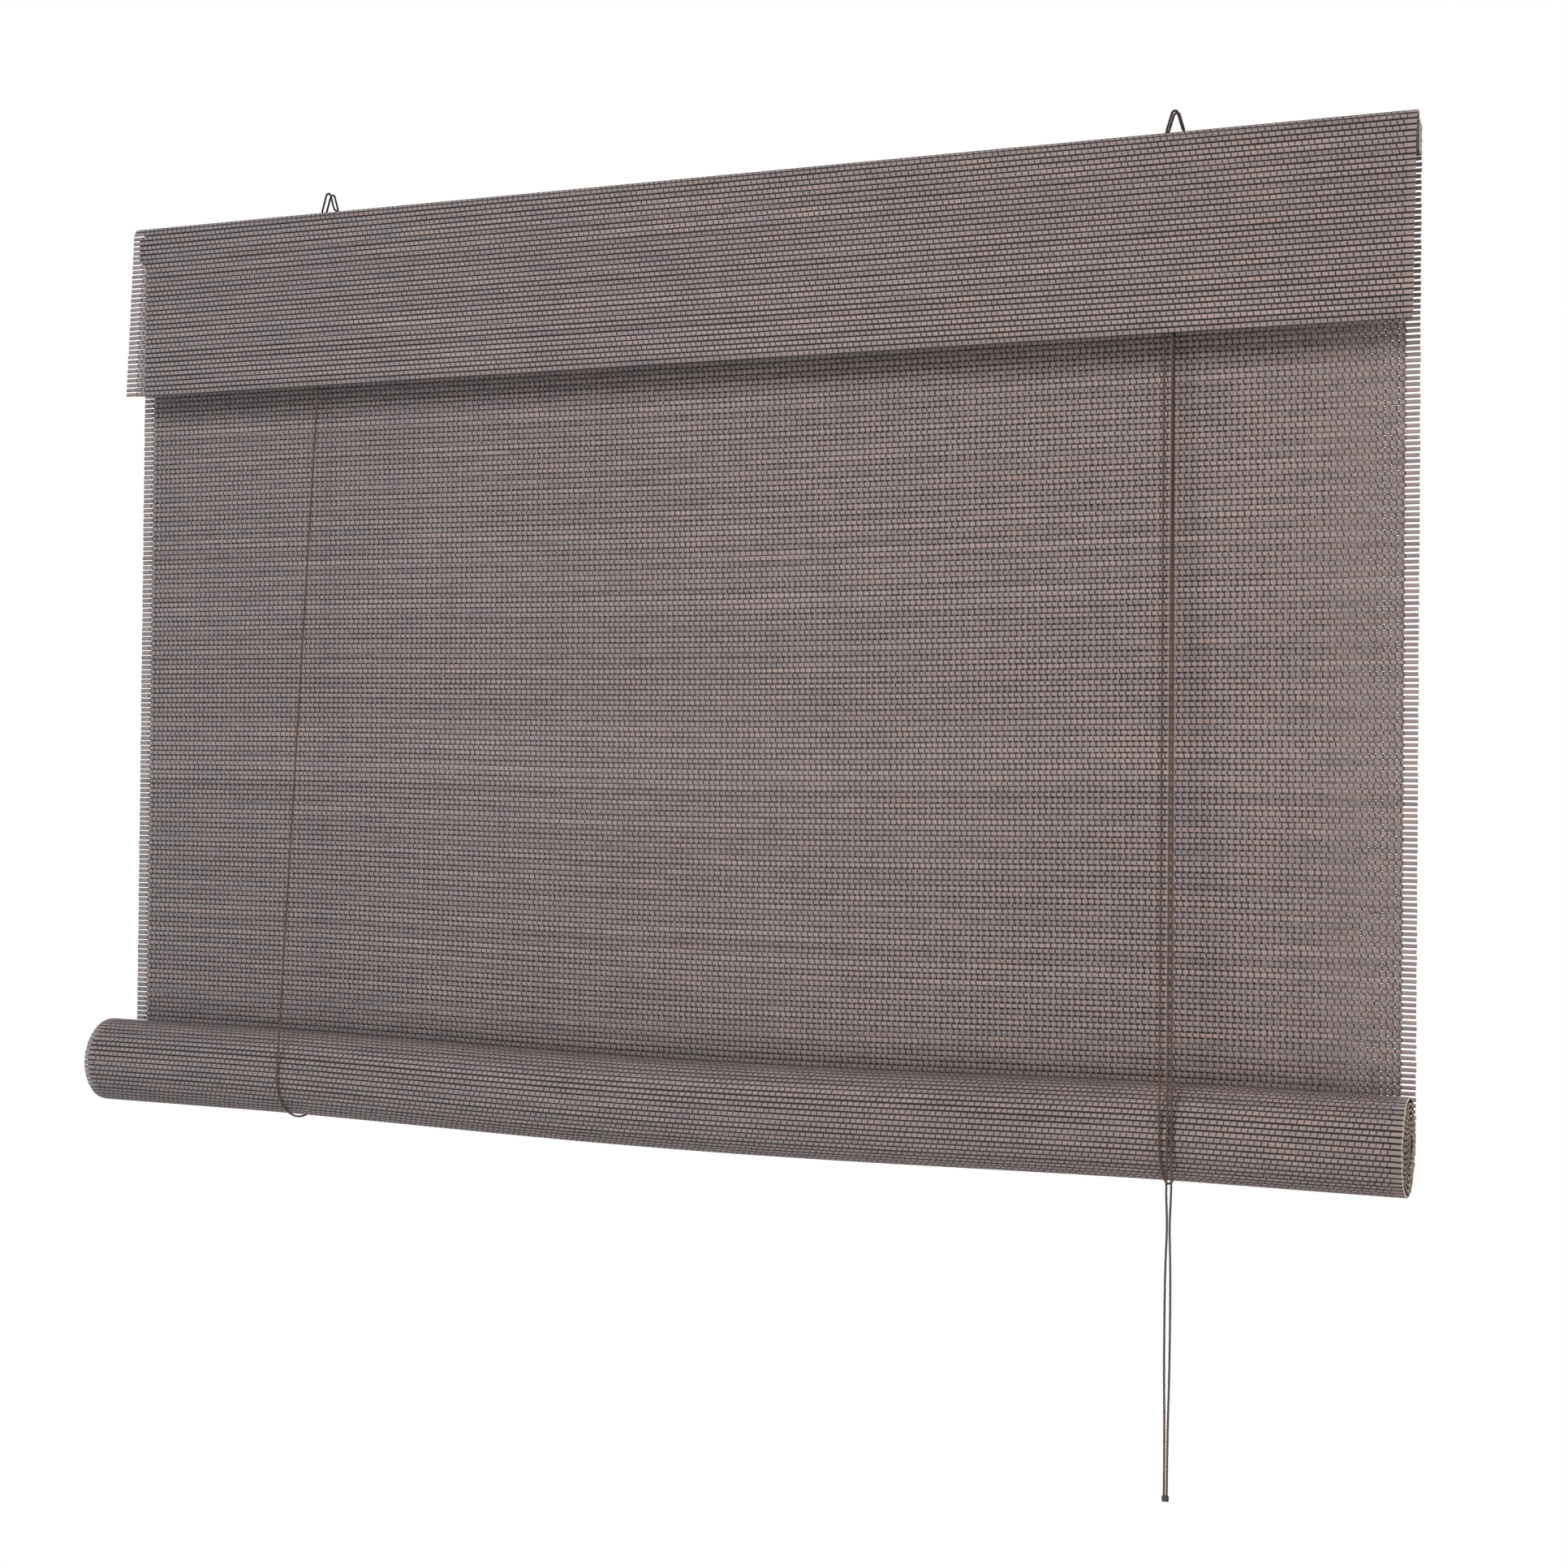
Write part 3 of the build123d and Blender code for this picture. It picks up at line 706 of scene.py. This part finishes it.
columns = thread_columns()
roll_axis = middle("bottom_rod")
sheet_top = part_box("hanging_mat")[1].z


def hanging_mat():
    stations = hanging_stations()
    halves = half_pitches(stations)
    still = np.zeros(len(stations))
    dips = (sheet_top - stations[:, 1]) / (sheet_top - roll_axis.z)
    mat = slats("hanging_slats", stations, halves, sheet_edges, still, dips, still > 0)
    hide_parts("hanging_mat")
    front = face_threads("hanging_threads_front", stations, halves, columns, 1, front_shift_share, dips)
    back = face_threads("hanging_threads_back", stations, halves, columns, -1, back_shift_share, dips)
    bars = thread_bars("hanging_thread_crossings", stations, halves, columns, dips)
    for piece in (mat, front, back, bars):
        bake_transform(piece)


def valance_mat():
    stations = valance_stations()
    halves = half_pitches(stations)
    still = np.zeros(len(stations))
    mat = slats("valance_slats", stations, halves, valance_edges, still, still, still > 0)
    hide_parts("valance_mat")
    weave = face_threads("valance_threads", stations, halves, columns, 1, back_shift_share, still)
    for piece in (mat, weave):
        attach(piece, "root")


def rolled_mat():
    turns = roll_turns()
    stations = roll_stations(turns)
    halves = half_pitches(stations)
    creep = turn_creep * turns / (2 * math.pi)
    dips = np.ones(len(stations))
    outer = turns < 2 * math.pi
    mat = slats("roll_slats", stations, halves, roll_edges, creep, dips, outer)
    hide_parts("rolled_mat")
    rows = (stations[outer], halves[outer])
    weave = face_threads("roll_threads", *rows, columns, -1, back_shift_share, dips[outer])
    for piece in (mat, weave):
        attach(piece, "roll")


hanging_mat()
valance_mat()
rolled_mat()


# Cords, with the routes' points in the part's frame

left_wheel, lock_wheel = middle("left_pulley"), middle("lock_pulley")
pulley_z = left_wheel.z
left_cord, right_cord = middle("left_back_cord"), middle("right_back_cord")
sling_radius = roll_radius + cord_clearance + cord_diameter / 2
front_y = roll_axis.y - sling_radius
pull_end = middle("pull_cord_end")
pull_end_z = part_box("lower_pull_cord_front")[0].z


def straight(top, bottom):
    """A tight run, with a point near each end that keeps it straight there."""
    start, end = Vector(top), Vector(bottom)
    near = (end - start).normalized() * corner_reach
    return [start, start + near, end - near, end]


def sling_points(x):
    """Corners round the underside of the roll, closer than the roll is curved."""
    step = math.pi / sling_corners
    reach = sling_radius / math.cos(step / 2)
    points = [(x, roll_axis.y - sling_radius, roll_axis.z)]
    for index in range(sling_corners):
        turn = (index + 0.5) * step
        points.append((x, roll_axis.y - reach * math.cos(turn), roll_axis.z - reach * math.sin(turn)))
    points.append((x, roll_axis.y + sling_radius, roll_axis.z))
    return points


def held_cord(node, points):
    """A strand that stays where the hardware and the roll hold it."""
    piece = twisted_cord(f"{node}_strands", points)[0]
    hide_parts(node)
    return piece


def lifting_cord(side, top, back):
    """The strand down from a pulley, round the underside of the roll and up the back of the mat."""
    front = held_cord(f"{side}_front_cord", straight(top, (back.x, front_y, roll_axis.z)))
    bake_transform(front)
    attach(held_cord(f"{side}_sling_cord", sling_points(back.x)), "carriage")
    anchor_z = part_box(f"{side}_back_cord")[1].z
    rear = straight((back.x, back.y, anchor_z), (back.x, back.y, roll_axis.z))
    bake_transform(held_cord(f"{side}_back_cord", rear))


lifting_cord("left", (left_wheel.x - cord_turn, groove_offset, pulley_z), left_cord)
lifting_cord("right", (lock_wheel.x - cord_turn, -groove_offset, pulley_z), right_cord)

cross_points = [
    (left_wheel.x - cord_turn, groove_offset, pulley_z),
    (left_wheel.x - cord_turn, groove_offset, pulley_z + cord_turn),
    (left_wheel.x + corner_reach, groove_offset, pulley_z + cord_turn),
    (lock_wheel.x - corner_reach, groove_offset, pulley_z + cord_turn),
    (lock_wheel.x + cord_turn, groove_offset, pulley_z + cord_turn),
    (lock_wheel.x + cord_turn, groove_offset, pulley_z),
]
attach(held_cord("cross_cord", cross_points), "root")
turn_points = [
    (lock_wheel.x - cord_turn, -groove_offset, pulley_z),
    (lock_wheel.x - cord_turn, -groove_offset, pulley_z + cord_turn),
    (lock_wheel.x + cord_turn, -groove_offset, pulley_z + cord_turn),
    (lock_wheel.x + cord_turn, -groove_offset, pulley_z),
]
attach(held_cord("lock_turn_cord", turn_points), "root")


def pull_cord(place, side):
    """One pull strand, in two pieces: from the lock to the front of the roll, and on to its end."""
    lie_x, end_x = pull_end.x + side * pull_spread, pull_end.x + side * pull_end_spread
    top = (lock_wheel.x + cord_turn, side * groove_offset, pulley_z)
    lie = (lie_x, front_y, roll_axis.z)
    upper, upper_line = twisted_cord(f"upper_pull_cord_{place}_strands", straight(top, lie))
    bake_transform(upper)
    open_x = pull_end.x + side * pull_open_spread
    lower_points = [
        lie,
        (open_x, front_y, spread_z),
        (end_x, front_y, meeting_z),
        (end_x, front_y, parting_z),
        (open_x, front_y, open_z),
        (open_x, front_y, closing_z),
        (end_x, front_y, closed_z),
        (end_x, front_y, pull_end_z),
    ]
    lower, lower_line = twisted_cord(f"lower_pull_cord_{place}_strands", lower_points)
    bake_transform(lower)
    for piece, node in ((upper, f"upper_pull_cord_{place}"), (lower, f"lower_pull_cord_{place}")):
        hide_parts(node)


pull_cord("front", -1)
pull_cord("rear", 1)


# Camera


def photo_camera():
    yaw, pitch, roll = [math.radians(angle) for angle in (camera_yaw, camera_pitch, camera_roll)]
    ahead = Vector((-math.sin(yaw) * math.cos(pitch), math.cos(yaw) * math.cos(pitch), math.sin(pitch)))
    level = Vector((math.cos(yaw), math.sin(yaw), 0.0))
    upright = level.cross(ahead)
    right = math.cos(roll) * level + math.sin(roll) * upright
    up = -math.sin(roll) * level + math.cos(roll) * upright
    data = bpy.data.cameras.new("photo_camera")
    data.lens = camera_lens
    data.sensor_width = camera_sensor
    camera = bpy.data.objects.new("photo_camera", data)
    turned = Matrix((right, up, -ahead)).transposed().to_4x4()
    camera.matrix_world = Matrix.Translation(camera_place) @ turned
    bpy.context.scene.collection.objects.link(camera)
    bpy.context.scene.camera = camera


# Studio


def soft_lamp(name, place, target, size, power):
    data = bpy.data.lights.new(name, "AREA")
    data.shape = "DISK"
    data.size = size
    data.energy = power
    lamp = bpy.data.objects.new(name, data)
    lamp.location = place
    lamp.rotation_euler = (Vector(target) - Vector(place)).to_track_quat("-Z", "Y").to_euler()
    bpy.context.scene.collection.objects.link(lamp)


def seen_directly(tree):
    """1 for what the camera sees directly, in a reflection or through a clear thing, and else 0."""
    path = tree.nodes.new("ShaderNodeLightPath")
    total = path.outputs["Is Camera Ray"]
    for name in ("Is Glossy Ray", "Is Transmission Ray"):
        either = tree.nodes.new("ShaderNodeMath")
        either.operation = "MAXIMUM"
        tree.links.new(total, either.inputs[0])
        tree.links.new(path.outputs[name], either.inputs[1])
        total = either.outputs[0]
    return total


def white_surround():
    world = bpy.data.worlds.new("white_surround")
    world.use_nodes = True
    bpy.context.scene.world = world
    tree = world.node_tree
    level = tree.nodes.new("ShaderNodeMapRange")
    level.inputs["To Min"].default_value = surround_light
    level.inputs["To Max"].default_value = background_level
    tree.links.new(seen_directly(tree), level.inputs["Value"])
    background = tree.nodes["Background"]
    background.inputs["Color"].default_value = (1, 1, 1, 1)
    tree.links.new(level.outputs["Result"], background.inputs["Strength"])


def pale_floor():
    """A floor well below the blind, that fades out into the white around it."""
    signs = [(-1, -1), (1, -1), (1, 1), (-1, 1)]
    mesh = bpy.data.meshes.new("floor")
    mesh.from_pydata([(x * floor_half, y * floor_half, floor_z) for x, y in signs], [], [(0, 1, 2, 3)])
    shader = Shader("pale_floor", floor_roughness, specular=floor_specular)
    speckle = shader.noise(shader.places(speckle_scales), 1.0, speckle_detail)
    shader.set("Base Color", shader.ramp(speckle, floor_tones))
    reach = shader.node("ShaderNodeVectorMath", {"operation": "LENGTH"}, {0: shader.places((1, 1, 0))})
    shader.set("Alpha", shader.span(reach.outputs["Value"], 1, 0, floor_clear, floor_half))
    mesh.materials.append(shader.material)
    floor = bpy.data.objects.new("floor", mesh)
    bpy.context.scene.collection.objects.link(floor)


photo_camera()
white_surround()
soft_lamp("key_lamp", key_place, key_target, key_size, key_power)
soft_lamp("fill_lamp", fill_place, fill_target, fill_size, fill_power)
soft_lamp("back_lamp", back_place, back_target, back_size, back_power)
soft_lamp("side_lamp", side_place, side_target, side_size, side_power)
pale_floor()
bpy.context.scene.view_settings.view_transform = "Standard"
